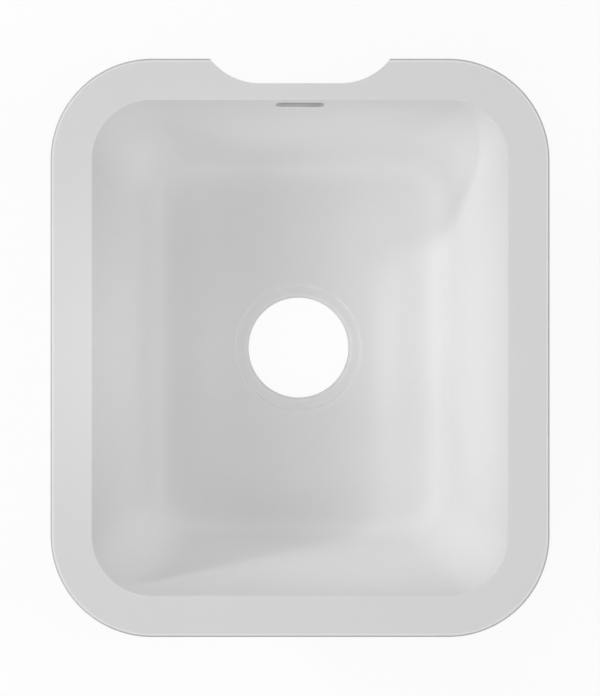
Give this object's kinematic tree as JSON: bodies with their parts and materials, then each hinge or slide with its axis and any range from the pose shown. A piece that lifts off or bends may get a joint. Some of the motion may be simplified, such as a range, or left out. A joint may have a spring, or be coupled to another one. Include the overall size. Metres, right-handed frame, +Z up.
{
  "type": "sink bowl",
  "caption": "Undermount kitchen sink bowl with a wide bonding flange, rear tap notch, recessed drain hole, overflow slot and a swivelling overflow outlet behind.",
  "frame": {"origin": "centre of the flat underside, on the plane that the bowl stands on", "axes": "+Z up out of the bowl, +Y to the rear (tap notch and overflow side), +X to the right seen from the front"},
  "size_m": [0.441, 0.511, 0.19],
  "materials": {
    "solid_surface": "matte",
    "brass": "satin",
    "black_rubber": "matte",
    "housing_plastic": "satin",
    "elbow_plastic": "satin",
    "steel": "satin"
  },
  "bodies": {
    "basin": {"bowl": "solid_surface", "overflow_inserts": "brass", "overflow_gasket": "black_rubber", "overflow_housing": "housing_plastic", "overflow_washers": "steel", "overflow_screws": "steel", "outlet_clip": "steel"},
    "elbow": {"outlet_elbow": "elbow_plastic", "outlet_o_ring": "black_rubber"}
  },
  "joints": [
    {"name": "elbow_swivel", "type": "hinge", "parent": "basin", "child": "elbow", "pos_m": [0, 0.2198, 0.09], "axis": [0, 0, 1], "range_deg": [-20, 200]}
  ]
}
